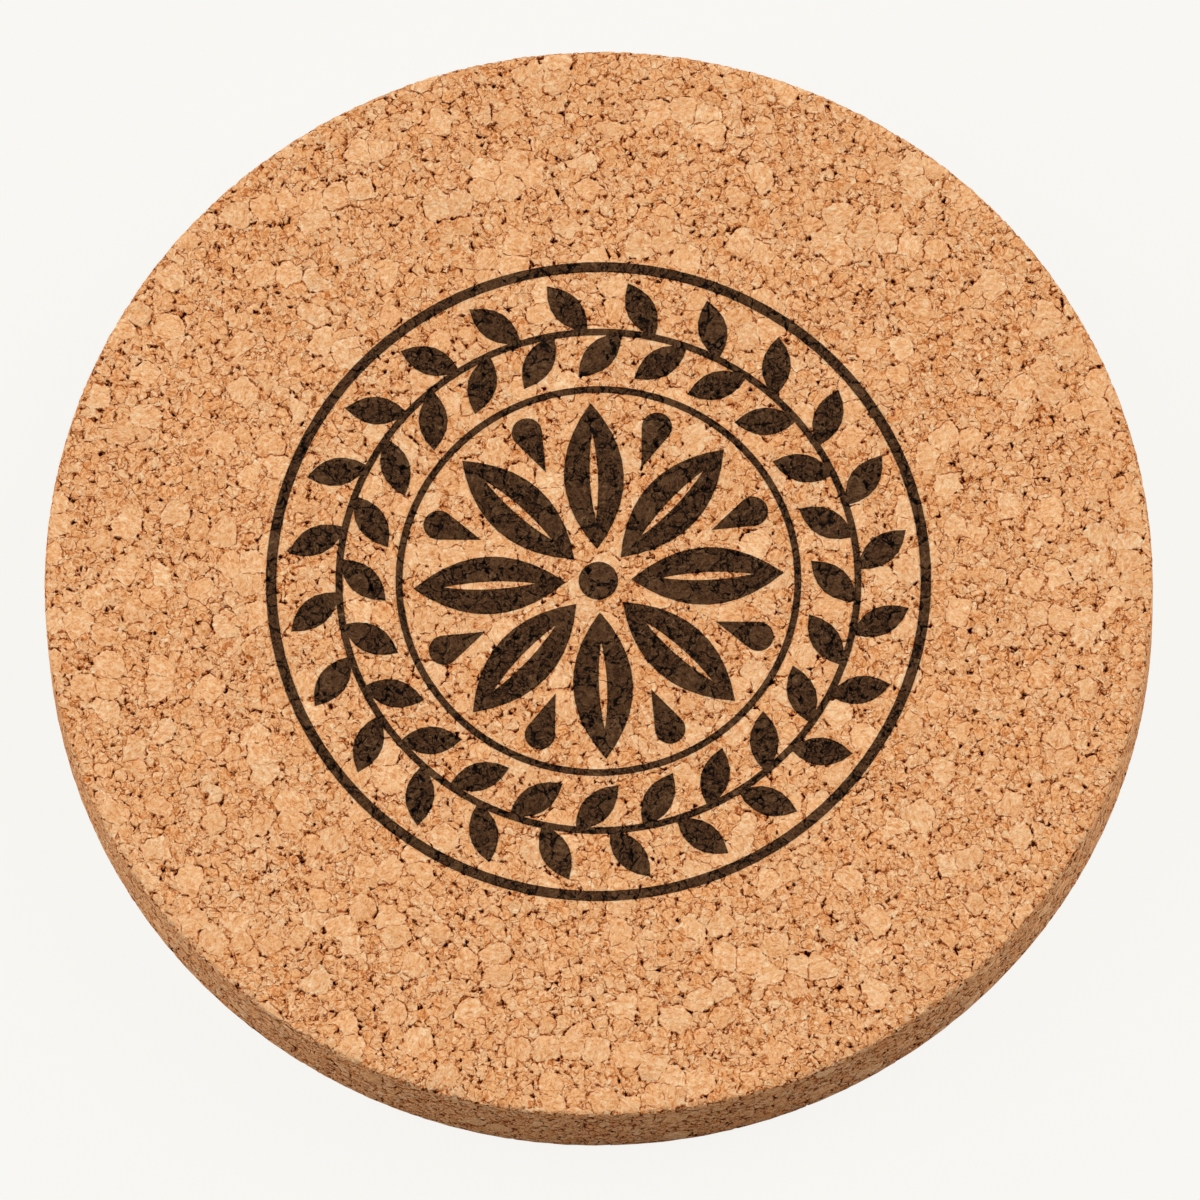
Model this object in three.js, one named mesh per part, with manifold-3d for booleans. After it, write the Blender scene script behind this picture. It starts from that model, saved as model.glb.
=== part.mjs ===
// Round cork coaster: a pressed cork disc with an ornament printed in dark ink on its top face.
// Millimetres, +Z up, origin at the centre of the underside. Each island of the ink film is its own mesh.
import * as THREE from "three";
import { mergeVertices } from "three/addons/utils/BufferGeometryUtils.js";
import Module from "manifold-3d";

const wasm = await Module();
wasm.setup();

// Cork disc
const DISC_DIAMETER = 95;
const DISC_THICKNESS = 10;
const EDGE_RADIUS = 0.25; // sanded edge, top and bottom

// Printed ornament, from its edge inwards
const PRINT_DIAMETER = 57;
const INK_FILM = 0.06; // height of the ink above the cork
const BAND_GAP = 0.9; // bare cork between one band of the print and the next
const BORDER_WIDTH = 0.9;
const STEM_WIDTH = 0.6;
const LEAF_COUNT = 24; // on each side of the stem
const LEAF_LENGTH = 5.4;
const LEAF_WIDTH = 2.5;
const LEAF_LEAN = THREE.MathUtils.degToRad(52); // between a leaf and the stem
const INNER_RING_WIDTH = 0.6;
const PETAL_COUNT = 8;
const PETAL_SPACING = 2.4; // bare cork between two petals, at their widest
const MIDRIB_WIDTH = 0.7; // bare line down the middle of a petal
const MIDRIB_INSET = 2.6; // from each tip of a petal to its midrib
const DROP_LENGTH = 5.2;
const DROP_WIDTH = 2.6;
const DOT_RADIUS = 1.7;
const DOT_GAP = 1.1; // bare cork from the dot to the petals

// Facets
const RIM_SEGMENTS = 120;
const EDGE_SEGMENTS = 2; // for each half of the edge's arc
const RING_SEGMENTS = 48; // for each half of a ring
const CURVE_SEGMENTS = 10;
const LEAF_SEGMENTS = 6;

// Radii that follow from the sizes above. The stem lies where the outer leaves' tips end one gap
// inside the border, and the inner leaves' tips then give the inner edge of the wreath.
const discRadius = DISC_DIAMETER / 2;
const printRadius = PRINT_DIAMETER / 2;
const leafRise = LEAF_LENGTH * Math.sin(LEAF_LEAN);
const leafRun = LEAF_LENGTH * Math.cos(LEAF_LEAN);
const wreathOuter = printRadius - BORDER_WIDTH - BAND_GAP;
const stemRadius = Math.sqrt(wreathOuter ** 2 - leafRun ** 2) - leafRise;
const wreathInner = Math.hypot(stemRadius - leafRise, leafRun);
const innerRingRadius = wreathInner - BAND_GAP;
const petalTip = innerRingRadius - INNER_RING_WIDTH - BAND_GAP;
const petalRoot = DOT_RADIUS + DOT_GAP;
const petalStep = (2 * Math.PI) / PETAL_COUNT;

const corkMaterial = new THREE.MeshStandardMaterial({ color: 0xd79e6c, roughness: 0.9, metalness: 0 });
const inkMaterial = new THREE.MeshStandardMaterial({ color: 0x3f2c1d, roughness: 0.7, metalness: 0 });

const coaster = new THREE.Group();
const print = new THREE.Group();
print.position.z = DISC_THICKNESS;
coaster.add(print);

function addPiece(parent, name, geometry, material, turn = 0) {
  const mesh = new THREE.Mesh(geometry, material);
  mesh.name = name;
  mesh.rotation.z = turn;
  parent.add(mesh);
}

// Half of the disc's section, from the axis below to the axis above, turned about the axis.
function discGeometry() {
  const section = new THREE.Path();
  const cornerReach = discRadius - EDGE_RADIUS;
  section.moveTo(0, 0);
  section.lineTo(cornerReach, 0);
  section.absarc(cornerReach, EDGE_RADIUS, EDGE_RADIUS, -Math.PI / 2, 0);
  section.lineTo(discRadius, DISC_THICKNESS - EDGE_RADIUS);
  section.absarc(cornerReach, DISC_THICKNESS - EDGE_RADIUS, EDGE_RADIUS, 0, Math.PI / 2);
  section.lineTo(printRadius, DISC_THICKNESS); // the bare margin, on which a cup stands, is a ring of its own
  section.lineTo(0, DISC_THICKNESS);
  const points = section.getPoints(EDGE_SEGMENTS);
  return new THREE.LatheGeometry(points, RIM_SEGMENTS).rotateX(Math.PI / 2);
}

// Outlines of the ornament. All but the rings lie along +X, from their start to their end on the axis.
function ring(outerRadius, width) {
  const shape = new THREE.Shape().absarc(0, 0, outerRadius, 0, 2 * Math.PI);
  shape.holes.push(new THREE.Path().absarc(0, 0, outerRadius - width, 0, 2 * Math.PI, true));
  return shape;
}

function pointedOval(path, start, end, width) {
  const middle = (start + end) / 2;
  path.moveTo(start, 0);
  path.quadraticCurveTo(middle, -width, end, 0);
  path.quadraticCurveTo(middle, width, start, 0);
  return path;
}

// Half the petal's width is what its sector leaves, at the middle of the petal, beside half the spacing.
function petal(root, tip) {
  const halfSector = petalStep / 2;
  const sectorReach = ((root + tip) / 2) * Math.tan(halfSector);
  const halfWidth = sectorReach - PETAL_SPACING / 2 / Math.cos(halfSector);
  const shape = pointedOval(new THREE.Shape(), root, tip, 2 * halfWidth);
  shape.holes.push(pointedOval(new THREE.Path(), root + MIDRIB_INSET, tip - MIDRIB_INSET, MIDRIB_WIDTH));
  return shape;
}

// Pointed at its start and round at its end: an arc, and two lines from it that meet in the point.
function drop(start, end, width) {
  const roundRadius = width / 2;
  const arcCentre = end - roundRadius;
  const arcHalf = Math.PI - Math.acos(roundRadius / (arcCentre - start));
  const shape = new THREE.Shape().absarc(arcCentre, 0, roundRadius, -arcHalf, arcHalf);
  return shape.lineTo(start, 0);
}

function inkFilm(shape, segments) {
  return new THREE.ExtrudeGeometry(shape, { depth: INK_FILM, bevelEnabled: false, curveSegments: segments });
}

function solidFrom(geometry) {
  geometry.deleteAttribute("normal");
  geometry.deleteAttribute("uv");
  const merged = mergeVertices(geometry);
  return new wasm.Manifold(
    new wasm.Mesh({
      numProp: 3,
      vertProperties: merged.attributes.position.array,
      triVerts: new Uint32Array(merged.index.array),
    }),
  );
}

function geometryFrom(solid) {
  const mesh = solid.getMesh();
  return new THREE.BufferGeometry()
    .setAttribute("position", new THREE.BufferAttribute(mesh.vertProperties, 3))
    .setIndex(new THREE.BufferAttribute(mesh.triVerts, 1));
}

// A leaf springs from the middle of the stem and leans along it, outwards or inwards.
function leafFilm(angle, side) {
  const leaf = inkFilm(pointedOval(new THREE.Shape(), 0, LEAF_LENGTH, LEAF_WIDTH), LEAF_SEGMENTS);
  leaf.rotateZ(angle + Math.PI / 2 - side * LEAF_LEAN);
  return leaf.translate(stemRadius * Math.cos(angle), stemRadius * Math.sin(angle), 0);
}

function leafWreath() {
  const leafStep = (2 * Math.PI) / LEAF_COUNT;
  let wreath = solidFrom(inkFilm(ring(stemRadius + STEM_WIDTH / 2, STEM_WIDTH), RING_SEGMENTS));
  for (let i = 0; i < LEAF_COUNT; i++) {
    wreath = wreath.add(solidFrom(leafFilm(i * leafStep, 1)));
    wreath = wreath.add(solidFrom(leafFilm((i + 0.5) * leafStep, -1)));
  }
  return geometryFrom(wreath);
}

addPiece(coaster, "cork_disc", discGeometry(), corkMaterial);

const borderRing = inkFilm(ring(printRadius, BORDER_WIDTH), RING_SEGMENTS);
const innerRing = inkFilm(ring(innerRingRadius, INNER_RING_WIDTH), RING_SEGMENTS);
addPiece(print, "print_border_ring", borderRing, inkMaterial);
addPiece(print, "print_leaf_wreath", leafWreath(), inkMaterial);
addPiece(print, "print_inner_ring", innerRing, inkMaterial);

for (let i = 0; i < PETAL_COUNT; i++) {
  const petalFilm = inkFilm(petal(petalRoot, petalTip), CURVE_SEGMENTS);
  const dropFilm = inkFilm(drop(petalTip - DROP_LENGTH, petalTip, DROP_WIDTH), CURVE_SEGMENTS);
  addPiece(print, `print_petal_${i + 1}`, petalFilm, inkMaterial, i * petalStep);
  addPiece(print, `print_drop_${i + 1}`, dropFilm, inkMaterial, (i + 0.5) * petalStep);
}

const dot = new THREE.Shape().absarc(0, 0, DOT_RADIUS, 0, 2 * Math.PI);
addPiece(print, "print_centre_dot", inkFilm(dot, CURVE_SEGMENTS), inkMaterial);

export default coaster;
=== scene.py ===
import math

import bmesh
import bpy
from mathutils import Matrix, Vector


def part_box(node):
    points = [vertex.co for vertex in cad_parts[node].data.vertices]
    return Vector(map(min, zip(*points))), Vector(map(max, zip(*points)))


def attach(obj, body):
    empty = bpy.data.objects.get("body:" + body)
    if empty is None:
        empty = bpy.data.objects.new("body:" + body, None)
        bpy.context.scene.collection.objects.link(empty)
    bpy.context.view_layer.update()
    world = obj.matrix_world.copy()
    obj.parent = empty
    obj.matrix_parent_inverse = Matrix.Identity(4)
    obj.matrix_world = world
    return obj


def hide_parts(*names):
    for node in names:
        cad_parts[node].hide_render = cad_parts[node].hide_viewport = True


# A round coaster of pressed cork granules with an ornament printed on it in dark brown ink.
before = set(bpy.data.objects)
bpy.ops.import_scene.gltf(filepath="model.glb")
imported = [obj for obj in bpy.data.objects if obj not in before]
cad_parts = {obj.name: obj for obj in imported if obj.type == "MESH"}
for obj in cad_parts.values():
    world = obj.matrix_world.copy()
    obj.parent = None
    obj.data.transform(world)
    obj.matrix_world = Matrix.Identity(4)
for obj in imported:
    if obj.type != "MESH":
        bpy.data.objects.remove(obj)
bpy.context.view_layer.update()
scene = bpy.context.scene
mm = 0.001
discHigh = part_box("cork_disc")[1]
discRadius = discHigh.x / mm  # in millimetres, as all the patterns are
discHeight = discHigh.z / mm
print("frame loaded:", len(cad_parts), "CAD nodes")
print("disc:", round(2 * discRadius, 2), "mm across,", round(discHeight, 2), "mm high")


def srgb(red, green, blue):
    def linear(part):
        part /= 255
        return part / 12.92 if part <= 0.04045 else ((part + 0.055) / 1.055) ** 2.4
    return (linear(red), linear(green), linear(blue), 1.0)


# Node maths
class Wire:
    # one output socket of a node: operators on it add Math nodes, node() adds any other node
    def __init__(self, tree, socket=None):
        self.tree = tree
        self.socket = socket

    def node(self, kind, settings, sockets, output=0):
        made = self.tree.nodes.new(kind)
        for name, value in settings.items():
            if name == "stops":
                fillRamp(made.color_ramp, value)
            else:
                setattr(made, name, value)
        for key, value in sockets.items():
            if isinstance(value, Wire):
                self.tree.links.new(value.socket, made.inputs[key])
            else:
                made.inputs[key].default_value = value
        return Wire(self.tree, made.outputs[output])

    def output(self, name):
        return Wire(self.tree, self.socket.node.outputs[name])

    def math(self, operation, *values):
        return self.node("ShaderNodeMath", {"operation": operation}, dict(enumerate(values)))

    def __add__(self, other):
        return self.math("ADD", self, other)

    def __radd__(self, other):
        return self.math("ADD", other, self)

    def __sub__(self, other):
        return self.math("SUBTRACT", self, other)

    def __rsub__(self, other):
        return self.math("SUBTRACT", other, self)

    def __mul__(self, other):
        return self.math("MULTIPLY", self, other)

    def __rmul__(self, other):
        return self.math("MULTIPLY", other, self)

    def __truediv__(self, other):
        return self.math("DIVIDE", self, other)

    def __rtruediv__(self, other):
        return self.math("DIVIDE", other, self)

    def __lt__(self, other):
        return self.math("LESS_THAN", self, other)

    def __gt__(self, other):
        return self.math("GREATER_THAN", self, other)


evenValue = 0.5  # the mean of a noise and of a random draw
evenColour = (evenValue, evenValue, evenValue)


def fillRamp(ramp, stops):
    while len(ramp.elements) < len(stops):
        ramp.elements.new(stops[-1][0])
    for element, (position, colour) in zip(ramp.elements, stops):
        element.position = position
        element.color = colour


def least(first, second):
    return first.math("MINIMUM", first, second)


def most(first, second):
    return first.math("MAXIMUM", first, second)


def smooth(value, low, high):
    sockets = {"Value": value, "From Min": low, "From Max": high}
    return value.node("ShaderNodeMapRange", {"interpolation_type": "SMOOTHSTEP"}, sockets)


def spread(value, low, high, toLow, toHigh):
    sockets = {"Value": value, "From Min": low, "From Max": high, "To Min": toLow, "To Max": toHigh}
    return value.node("ShaderNodeMapRange", {}, sockets)


def vector(first, operation, second):
    return first.node("ShaderNodeVectorMath", {"operation": operation}, {0: first, 1: second})


def measured(operation, first, second):
    return first.node("ShaderNodeVectorMath", {"operation": operation}, {0: first, 1: second}, "Value")


def scaled(place, factor):
    return place.node("ShaderNodeVectorMath", {"operation": "SCALE"}, {0: place, "Scale": factor})


def joined(x, y, z):
    return x.node("ShaderNodeCombineXYZ", {}, {"X": x, "Y": y, "Z": z})


def parted(place):
    parts = place.node("ShaderNodeSeparateXYZ", {}, {0: place})
    return parts, parts.output("Y"), parts.output("Z")


# A Mix node has its A and B once for each kind of value, so they are taken by number.
def choose(mask, off, on):
    return mask.node("ShaderNodeMix", {"data_type": "FLOAT"}, {0: mask, 2: off, 3: on})


def tinted(mask, off, on, mode="MIX"):
    settings = {"data_type": "RGBA", "blend_type": mode}
    return mask.node("ShaderNodeMix", settings, {0: mask, 6: off, 7: on}, 2)


def noise(place, size, detail, roughness=0.5, distortion=0.0):
    sockets = {
        "Vector": place,
        "Scale": 1 / size,
        "Detail": detail,
        "Roughness": roughness,
        "Distortion": distortion,
    }
    return place.node("ShaderNodeTexNoise", {}, sockets)


def cells(place, size, feature="F1"):
    return place.node("ShaderNodeTexVoronoi", {"feature": feature}, {"Vector": place, "Scale": 1 / size})


def wobble(place, size, reach, detail=1.0):
    shift = vector(noise(place, size, detail).output("Color"), "SUBTRACT", evenColour)
    return vector(place, "ADD", scaled(shift, reach))


# Cork granules, in millimetres. The relief of the mesh and the colours read the same pattern.
# Big granules that are not whole break up into middle ones, and those into crumbs.
# A gate, which is a noise, opens the borders between granules here and there.
granules = {
    "big": {
        "size": 2.15,
        "share": (0.4, 0.13),  # how many are whole, on the pressed faces and on the cut side
        "round": 0.63,  # mean reach from the centre, as a share of the size
        "shut": 0.512,  # up to this level of the gate a border stays shut
        "opens": 0.48,
        "corner": 3.2,  # gain of the opening in a corner
        "sharp": 1.6,
    },
    "middle": {
        "size": 0.95,
        "share": (0.72, 0.5),
        "round": 0.74,
        "shut": 0.517,
        "opens": 0.43,
        "corner": 2.8,
        "sharp": 1.8,
    },
    "crumb": {
        "size": 0.5,
        "share": (1.0, 1.0),
        "round": 9.0,  # crumbs fill their corners
        "shut": 0.527,
        "opens": 0.385,
        "corner": 2.1,
        "sharp": 2.2,
    },
    "roundSpread": 0.26,
    "closes": 2.0,  # how fast a border narrows towards its shut end
    "bend": (0.9, 0.72),  # size and reach of the wobble that bends the granules' borders
    "fray": (0.35, 0.16),
    "gate": (0.6, 3.0, 0.75),  # size, detail and roughness
    "gateShift": (31.0, 17.0, 5.0),  # the middle granules have a gate of their own
    "corner": (0.5, 0.85),  # distances from a centre to a side and to a corner, in sizes
    "sideOpening": 0.45,  # gain of the opening along a side
    "wallOpening": 0.045,  # the cut side is more open than the pressed faces
    "farAway": 9.0,
}
relief = {  # a step or depth has one value for the pressed faces and one for the cut side
    "granuleStep": (0.05, 0.02),
    "groove": (-0.2, 0.05),  # levels of the gap at which it begins and is at its depth
    "grooveDepth": (0.08, 0.05),
    "pit": (0.03, 0.15),
    "pitDepth": (0.4, 0.25),
    "rimWidth": 0.6,
    "rimLoss": 0.18,  # what has broken away from the upper rim
    "rimTeeth": (0.4, 1.0, 0.6),  # size, detail and roughness
    "toothEdge": (0.35, 0.65),
    "baseRelief": 0.1,  # the lower rim is crisp
}


def reachOf(place):
    flat = vector(place, "MULTIPLY", (1.0, 1.0, 0.0))
    return flat.node("ShaderNodeVectorMath", {"operation": "LENGTH"}, {0: flat}, "Value")


def nearestFace(place):
    # the point of the smooth disc next to a place, so that the pattern runs straight down into a pit
    x, y, z = parted(place)
    reach = reachOf(place)
    toTop = discHeight - z
    onWall = discRadius - reach < least(toTop, z)
    onTop = toTop < z
    outward = choose(onWall, 1.0, discRadius / reach)
    return joined(x * outward, y * outward, choose(onWall, onTop * discHeight, z)), onWall


def nearRims(place):
    inset = discRadius - reachOf(place)
    z = parted(place)[2]
    upper = smooth(most(inset, discHeight - z), relief["rimWidth"], 0.0)
    lower = smooth(most(inset, z), relief["rimWidth"], 0.0)
    return upper, lower


def granuleLevel(bent, level, gate, onWall):
    size = level["size"]
    share = choose(onWall, *level["share"])
    own = cells(bent, size)
    other = cells(bent, size, "F2")
    draw = parted(own.output("Color"))
    otherDraw = parted(other.output("Color"))
    # how far it is out of a granule, which ends halfway to the next centre or at its own round
    apart = measured("DISTANCE", own.output("Position"), other.output("Position"))
    halfway = (other * other - own * own) * (size * size / 2) / apart
    ownRound = (draw[2] - evenValue) * granules["roundSpread"] + level["round"]
    otherRound = (otherDraw[2] - evenValue) * granules["roundSpread"] + level["round"]
    outOfOwn = most(0.0 - halfway, (own - ownRound) * size)
    outOfOther = most(halfway, (other - otherRound) * size)
    # the border counts only beside a whole granule
    ownKept = draw[0] < share
    otherKept = otherDraw[0] < share
    ownRim = own.math("ABSOLUTE", outOfOwn) + (1.0 - ownKept) * granules["farAway"]
    rim = least(ownRim, outOfOther + (1.0 - otherKept) * granules["farAway"])
    # it gapes where the gate opens, most of all in a corner between granules
    gain = spread(own, *granules["corner"], granules["sideOpening"], level["corner"])
    ajar = gate - level["shut"]
    width = least(ajar * level["opens"] * gain, ajar * granules["closes"])
    away = vector(bent, "SUBTRACT", own.output("Position"))
    lean = vector(own.output("Color"), "SUBTRACT", evenColour)
    return {
        "draw": draw,
        "whole": ownKept * (outOfOwn < 0.0),
        "gap": (width - rim) * level["sharp"],
        "rise": measured("DOT_PRODUCT", away, lean),
    }


def byGranule(pattern, values):
    crumb, middle, big = values
    return choose(pattern["inBig"], choose(pattern["inMiddle"], crumb, middle), big)


def granulePattern(place, onWall):
    bent = wobble(wobble(place, *granules["bend"]), *granules["fray"])
    opening = onWall * granules["wallOpening"]
    gate = noise(place, *granules["gate"]) + opening
    otherGate = noise(vector(place, "ADD", granules["gateShift"]), *granules["gate"]) + opening
    big = granuleLevel(bent, granules["big"], gate, onWall)
    middle = granuleLevel(bent, granules["middle"], otherGate, onWall)
    crumb = granuleLevel(bent, granules["crumb"], gate, onWall)
    inBig = big["whole"]
    inMiddle = middle["whole"] * (1.0 - inBig)
    middleGap = middle["gap"] - inBig * granules["farAway"]
    crumbGap = crumb["gap"] - (inBig + inMiddle) * granules["farAway"]
    pattern = {"inBig": inBig, "inMiddle": inMiddle}
    pattern["gap"] = most(most(big["gap"], middleGap), crumbGap)
    pattern["rise"] = byGranule(pattern, (crumb["rise"], middle["rise"], big["rise"]))
    for part, key in enumerate(("rough", "tone", "turn")):
        bigDraw = big["draw"][(part + 1) % 3]  # the first draw of a whole one is always low
        pattern[key] = byGranule(pattern, (crumb["draw"][part], middle["draw"][part], bigDraw))
    return pattern


def reliefTree():
    tree = bpy.data.node_groups.new("corkRelief", "GeometryNodeTree")
    tree.interface.new_socket("Geometry", in_out="INPUT", socket_type="NodeSocketGeometry")
    tree.interface.new_socket("Geometry", in_out="OUTPUT", socket_type="NodeSocketGeometry")
    start = Wire(tree)
    given = start.node("NodeGroupInput", {}, {})
    position = start.node("GeometryNodeInputPosition", {}, {})
    inside = scaled(position, 1 / mm)
    face, onWall = nearestFace(inside)
    pattern = granulePattern(face, onWall)
    upperRim, lowerRim = nearRims(inside)
    step = pattern["tone"] * choose(onWall, *relief["granuleStep"])
    groove = smooth(pattern["gap"], *relief["groove"]) * choose(onWall, *relief["grooveDepth"])
    pit = smooth(pattern["gap"], *relief["pit"]) * choose(onWall, *relief["pitDepth"])
    teeth = smooth(noise(inside, *relief["rimTeeth"]), *relief["toothEdge"])
    depth = (step + groove + pit) * spread(lowerRim, 0.0, 1.0, 1.0, relief["baseRelief"])
    depth = depth + upperRim * teeth * relief["rimLoss"]
    normal = start.node("GeometryNodeInputNormal", {}, {})
    offset = scaled(normal, depth * -mm)
    moved = start.node("GeometryNodeSetPosition", {}, {"Geometry": given, "Offset": offset})
    end = tree.nodes.new("NodeGroupOutput")
    tree.links.new(moved.socket, end.inputs[0])
    return tree


# Finishes
corkFinish = {
    "tones": (
        (0.10, srgb(150, 70, 22)),
        (0.28, srgb(202, 120, 60)),
        (0.40, srgb(228, 159, 101)),
        (0.50, srgb(238, 176, 120)),
        (0.62, srgb(246, 193, 142)),
        (0.85, srgb(255, 231, 190)),
    ),
    # gap colours: painted shade of the grooves and pits with the darker binder, warm at the walls and
    # near black in the deepest pits; the shoulder colour also draws the veins
    "shoulder": srgb(197, 102, 34),
    "core": srgb(131, 58, 16),
    "deep": srgb(44, 13, 3),
    "vein": (0.7, 0.6, 0.5),  # in crumbs, middle and big granules
    "soaked": 0.0,
    "contrast": 1.0,
    "roughness": 0.95,
    "specular": 0.05,
}
inkFinish = {
    "tones": (
        (0.10, srgb(7, 2, 1)),
        (0.28, srgb(24, 12, 5)),
        (0.40, srgb(56, 34, 18)),
        (0.50, srgb(75, 49, 29)),
        (0.62, srgb(89, 61, 38)),
        (0.85, srgb(123, 92, 63)),
    ),
    # gap colours of the ink: painted shade of the pits, with the ink pooled in the gaps
    "shoulder": srgb(22, 11, 5),
    "core": srgb(9, 4, 2),
    "deep": srgb(4, 2, 1),
    "vein": (0.8, 0.8, 0.8),
    "soaked": 0.05,  # ink has run into the gaps and widens them
    "contrast": 0.95,
    "roughness": 0.8,
    "specular": 0.05,
}
paintedGapShadeAndBinder = {  # painted shade in the grooves and pits, partly the darker binder: levels of the gap at which a shade begins and is full, and its share
    "shoulder": (-0.14, -0.02, 0.72),
    "core": (-0.045, 0.055, 0.97),
    "deep": (0.04, 0.12, 1.0),
}
grain = {
    "curl": (0.36, 2.5, 0.85, 0.9),  # size, detail, roughness and distortion, as in each noise here
    "stretch": (1.0, 0.65, 0.65),
    "ownShift": 40.0,  # each granule has a stretch of the noise to itself
    "strength": (1.36, 1.31, 1.12),  # in crumbs, middle and big granules
    "toneStep": 0.13,
    "bigTone": 0.03,
    "meanTone": 0.5,
    "edge": (-0.34, -0.2, -0.09),  # painted highlight: the rims of the granules are made paler, standing in for their lit edges
    "edgeTone": 0.05,
    "wallTint": (1.0, 1.03, 1.07, 1.0),  # the cut side is given paler green and blue, so it is less orange
    "bump": (0.3, 3.0, 0.75, 0.8),
    "bumpHeight": 0.1,
    "riseHeight": 0.24,
    "gapBump": (-0.2, 0.1),
    "gapSink": 0.05,
    "flake": (0.6, 1.0, 0.5, 0.6),
    "flakeEdge": (0.46, 0.54),
    "flakeHeight": (0.05, 0.04, 0.025),
    "veinWidth": 0.045,
    "veinShade": (0.06, -0.06),  # veins show in the darker curls
}


def granularMaterial(name, finish):
    material = bpy.data.materials.new(name)
    material.use_nodes = True
    tree = material.node_tree
    shader = tree.nodes["Principled BSDF"]
    start = Wire(tree)
    place, onWall = nearestFace(scaled(start.node("ShaderNodeTexCoord", {}, {}, "Object"), 1 / mm))
    pattern = granulePattern(place, onWall)
    # curled grain, with its own direction in each granule
    angle = pattern["turn"] * (2 * math.pi)
    turned = place.node("ShaderNodeVectorRotate", {}, {"Vector": place, "Angle": angle})
    ownShift = scaled(joined(pattern["turn"], pattern["tone"], pattern["rough"]), grain["ownShift"])
    along = vector(vector(turned, "MULTIPLY", grain["stretch"]), "ADD", ownShift)
    curl = noise(along, *grain["curl"]) - evenValue
    curled = curl * byGranule(pattern, grain["strength"])
    value = (curled + (pattern["tone"] - evenValue) * grain["toneStep"]) * finish["contrast"]
    value = value + pattern["inBig"] * grain["bigTone"] + grain["meanTone"]
    # painted highlight: a paler band along the rims of the granules, beside the gaps, stands in for
    # their lit edges
    begins, peak, ends = grain["edge"]
    paintedRimHighlight = smooth(pattern["gap"], begins, peak) * smooth(pattern["gap"], ends, peak)
    value = value + paintedRimHighlight * grain["edgeTone"]
    colour = value.node("ShaderNodeValToRGB", {"stops": finish["tones"]}, {0: value})
    # veins run along the edges of the flakes, and the gaps are darker the deeper they are, a painted
    # shade of the grooves and pits together with the darker binder between granules
    flake = noise(along, *grain["flake"])
    vein = smooth(flake.math("ABSOLUTE", flake - evenValue), grain["veinWidth"], 0.0)
    vein = vein * smooth(curl, *grain["veinShade"]) * byGranule(pattern, finish["vein"])
    colour = tinted(vein, colour, finish["shoulder"])
    colour = tinted(onWall, colour, grain["wallTint"], "MULTIPLY")
    gap = pattern["gap"] + finish["soaked"]
    # painted shade with the darker binder: each gap colour is laid over by its level of the gap
    for shade, (begins, full, share) in paintedGapShadeAndBinder.items():
        colour = tinted(smooth(gap, begins, full) * share, colour, finish[shade])
    tree.links.new(colour.socket, shader.inputs["Base Color"])
    height = noise(place, *grain["bump"]) * grain["bumpHeight"] + pattern["rise"] * grain["riseHeight"]
    height = height - smooth(pattern["gap"], *grain["gapBump"]) * grain["gapSink"]
    height = height + smooth(flake, *grain["flakeEdge"]) * byGranule(pattern, grain["flakeHeight"])
    bump = start.node("ShaderNodeBump", {}, {"Strength": 1.0, "Distance": mm, "Height": height})
    tree.links.new(bump.socket, shader.inputs["Normal"])
    shader.inputs["Roughness"].default_value = finish["roughness"]
    shader.inputs["Specular IOR Level"].default_value = finish["specular"]
    return material


corkMaterial = granularMaterial("pressedCork", corkFinish)
inkMaterial = granularMaterial("brownInk", inkFinish)
print("finishes made")


# Pieces
weldDistance = 0.001 * mm
sharpAngle = math.radians(35)


def copyOfNode(node, name):
    work = bmesh.new()
    work.from_mesh(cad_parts[node].data)
    bmesh.ops.remove_doubles(work, verts=work.verts, dist=weldDistance)
    mesh = bpy.data.meshes.new(name)
    work.to_mesh(mesh)
    work.free()
    piece = bpy.data.objects.new(name, mesh)
    scene.collection.objects.link(piece)
    return piece


def settle(piece):
    # the piece keeps what its modifiers have made of it
    depsgraph = bpy.context.evaluated_depsgraph_get()
    finished = bpy.data.meshes.new_from_object(piece.evaluated_get(depsgraph))
    piece.modifiers.clear()
    piece.data = finished


def triangleCount(piece):
    piece.data.calc_loop_triangles()
    return len(piece.data.loop_triangles)


def dress(piece, node, material):
    piece.data.materials.clear()
    piece.data.materials.append(material)
    piece.data.shade_smooth()
    piece.data.set_sharp_from_angle(angle=sharpAngle)
    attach(piece, "root")
    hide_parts(node)


corkBody = {
    "voxel": 0.16 * mm,
    "quickVoxel": 0.5 * mm,
    "triangles": 190000,
}


def makeCork():
    piece = copyOfNode("cork_disc", "pressed_cork")
    remesh = piece.modifiers.new("remesh", "REMESH")
    remesh.mode = "VOXEL"
    remesh.voxel_size = corkBody["voxel"]
    shaped = piece.modifiers.new("relief", "NODES")
    shaped.node_group = reliefTree()
    settle(piece)
    before = triangleCount(piece)
    thin = piece.modifiers.new("thin", "DECIMATE")
    thin.ratio = min(1.0, corkBody["triangles"] / before)
    thin.use_collapse_triangulate = True  # so that the films are cut from the same triangles
    settle(piece)
    dress(piece, "cork_disc", corkMaterial)
    print("cork:", before, "triangles thinned to", triangleCount(piece))
    return piece


inkFilm = {
    "lift": 0.04 * mm,  # what lies above the cork's own surface
    "soak": 0.02 * mm,
    "parting": 0.01 * mm,  # above the cork's face, between the two sides of a film in the CAD
    "cutReach": 1.5 * mm,
}


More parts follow.
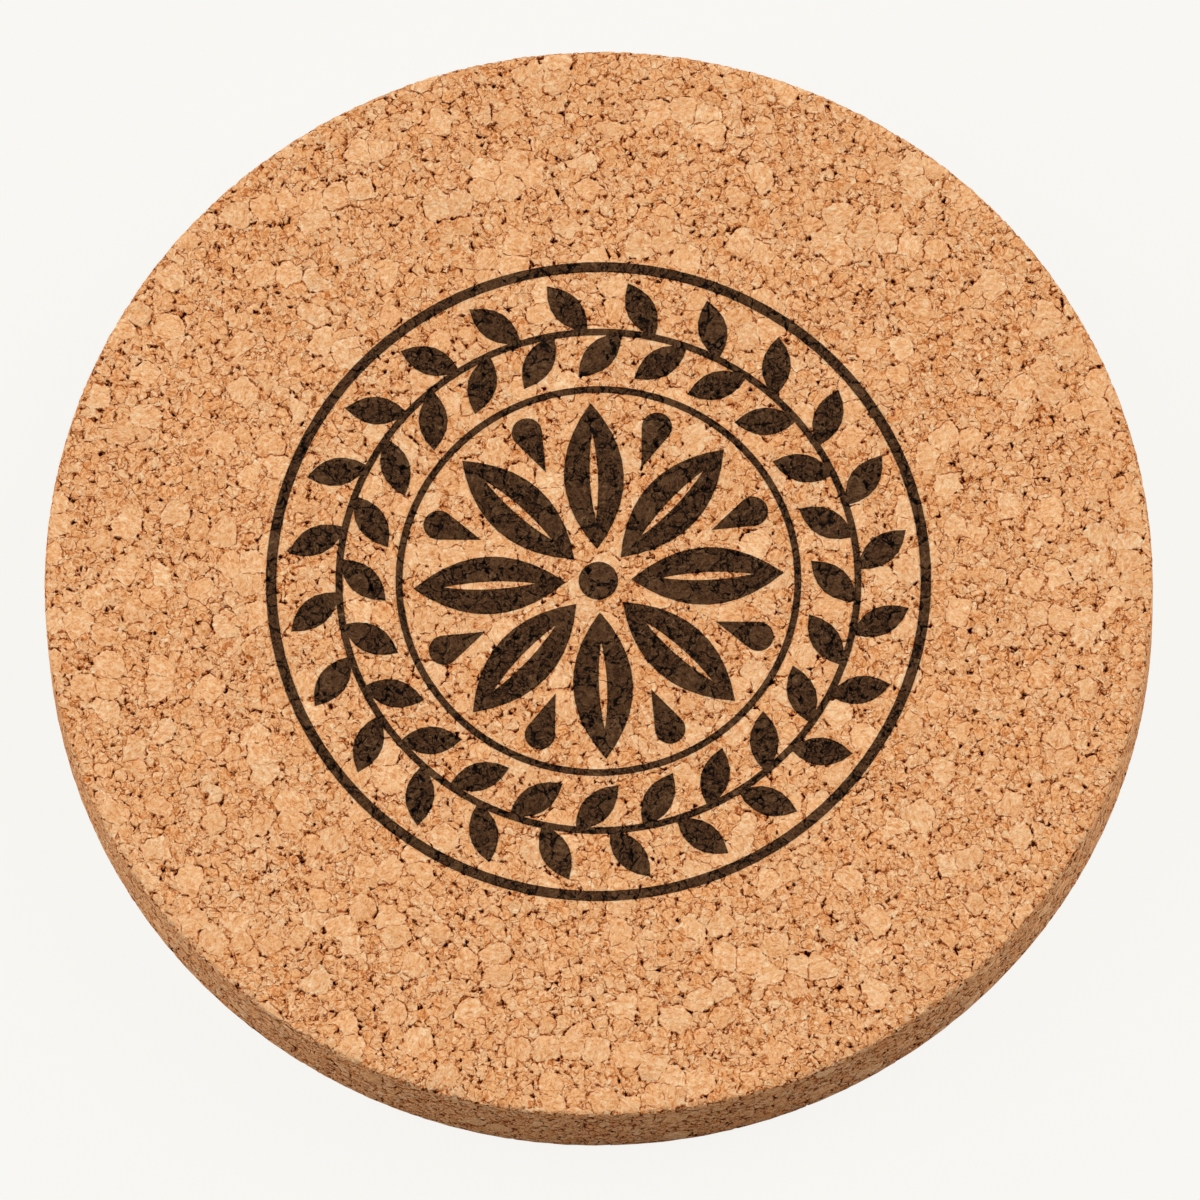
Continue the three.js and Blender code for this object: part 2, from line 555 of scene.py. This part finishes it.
def makeInk(node, cork):
    # the cork's own surface inside the film's outline, given a thickness
    cutter = copyOfNode(node, "cutter")
    cutter.data.shade_flat()
    parting = discHigh.z + inkFilm["parting"]
    for vertex in cutter.data.vertices:
        vertex.co.z += inkFilm["cutReach"] * (1 if vertex.co.z > parting else -1)
    piece = bpy.data.objects.new(node.replace("print", "ink"), cork.data.copy())
    scene.collection.objects.link(piece)
    cut = piece.modifiers.new("outline", "BOOLEAN")
    cut.operation = "INTERSECT"
    cut.solver = "MANIFOLD"
    cut.object = cutter
    settle(piece)
    bpy.data.objects.remove(cutter)
    work = bmesh.new()
    work.from_mesh(piece.data)
    cutFaces = [face for face in work.faces if not face.smooth]  # only the cutter is flat
    bmesh.ops.delete(work, geom=cutFaces, context="FACES")
    lower = work.verts[:]
    underside = work.faces[:]
    region = underside + work.edges[:]
    grown = bmesh.ops.extrude_face_region(work, geom=region, use_keep_orig=True)["geom"]
    upper = [part for part in grown if isinstance(part, bmesh.types.BMVert)]
    bmesh.ops.reverse_faces(work, faces=underside)
    bmesh.ops.translate(work, verts=lower, vec=(0.0, 0.0, -inkFilm["soak"]))
    bmesh.ops.translate(work, verts=upper, vec=(0.0, 0.0, inkFilm["lift"]))
    work.to_mesh(piece.data)
    work.free()
    dress(piece, node, inkMaterial)
    return piece


cork = makeCork()
prints = sorted(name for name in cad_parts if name.startswith("print_"))
inks = [makeInk(name, cork) for name in prints]
print("ink:", len(inks), "films,", sum(triangleCount(piece) for piece in inks), "triangles")


# Studio
studio = {
    "paper": srgb(248, 247, 243),
    "floorSize": 3.0,
    "floorBounce": (0.58, 0.53, 0.48, 1.0),  # what the floor throws on the coaster's side
    "floorGlow": 0.95,  # the rest of the floor's look is its shaded paper, with the shadow
    "sky": 0.15,
    "skyColour": (1.0, 1.0, 1.0, 1.0),
    "lamps": (  # direction it comes from, in degrees round from the front; elevation; share of light
        ("leftLamp", -101, 36, 0.72),
        ("rightLamp", 113, 36, 0.745),
    ),
    "lampWidth": 50,
}


def seenDirectly(start):
    path = start.node("ShaderNodeLightPath", {}, {}, "Is Camera Ray")
    return most(path, most(path.output("Is Glossy Ray"), path.output("Is Transmission Ray")))


def makeFloor():
    mesh = bpy.data.meshes.new("floor")
    work = bmesh.new()
    bmesh.ops.create_grid(work, x_segments=1, y_segments=1, size=studio["floorSize"])
    work.to_mesh(mesh)
    work.free()
    floor = bpy.data.objects.new("floor", mesh)
    scene.collection.objects.link(floor)
    material = bpy.data.materials.new("palePaper")
    material.use_nodes = True
    tree = material.node_tree
    tree.nodes.remove(tree.nodes["Principled BSDF"])
    start = Wire(tree)
    paper = start.node("ShaderNodeBsdfDiffuse", {}, {"Color": studio["paper"]})
    glow = start.node("ShaderNodeEmission", {}, {"Color": studio["paper"], "Strength": 1.0})
    shown = start.node("ShaderNodeMixShader", {}, {0: studio["floorGlow"], 1: paper, 2: glow})
    bounce = start.node("ShaderNodeBsdfDiffuse", {}, {"Color": studio["floorBounce"]})
    surface = start.node("ShaderNodeMixShader", {}, {0: seenDirectly(start), 1: bounce, 2: shown})
    tree.links.new(surface.socket, tree.nodes["Material Output"].inputs["Surface"])
    mesh.materials.append(material)


def makeLight():
    world = bpy.data.worlds.new("studio")
    world.use_nodes = True
    tree = world.node_tree
    sky = tree.nodes["Background"]
    start = Wire(tree)
    sky.inputs["Color"].default_value = studio["skyColour"]
    sky.inputs["Strength"].default_value = studio["sky"]
    backdrop = start.node("ShaderNodeBackground", {}, {"Color": studio["paper"], "Strength": 1.0})
    lit = Wire(tree, sky.outputs[0])
    surface = start.node("ShaderNodeMixShader", {}, {0: seenDirectly(start), 1: lit, 2: backdrop})
    tree.links.new(surface.socket, tree.nodes["World Output"].inputs["Surface"])
    scene.world = world
    for name, around, elevation, share in studio["lamps"]:
        lamp = bpy.data.lights.new(name, "SUN")
        lamp.energy = share * math.pi
        lamp.angle = math.radians(studio["lampWidth"])
        holder = bpy.data.objects.new(name, lamp)
        tilt = Matrix.Rotation(math.radians(90 - elevation), 4, "X")
        holder.matrix_world = Matrix.Rotation(math.radians(around), 4, "Z") @ tilt
        scene.collection.objects.link(holder)


# Camera, fitted to the outline of the coaster in the photograph
view = {
    "elevation": 73.86,
    "distance": 60 * discRadius * mm,
    "pixelsPerRadius": 552.7,
    "imageSide": 1200,
    "originPixel": (599.9, 613.0),
    "roll": -2.51,
}


def makeCamera():
    camera = bpy.data.cameras.new("camera")
    side = view["imageSide"]
    focalPixels = view["pixelsPerRadius"] * view["distance"] / (discRadius * mm)
    camera.lens = camera.sensor_width * focalPixels / side
    holder = bpy.data.objects.new("camera", camera)
    scene.collection.objects.link(holder)
    tilt = Matrix.Rotation(math.radians(90 - view["elevation"]), 4, "X")
    turned = tilt @ Matrix.Rotation(math.radians(view["roll"]), 4, "Z")
    pixel = discRadius * mm / view["pixelsPerRadius"]
    right = (side / 2 - view["originPixel"][0]) * pixel
    up = (view["originPixel"][1] - side / 2) * pixel
    holder.matrix_world = turned @ Matrix.Translation(Vector((right, up, view["distance"])))
    scene.camera = holder


makeFloor()
makeLight()
makeCamera()
scene.view_settings.view_transform = "Standard"
print("studio set")
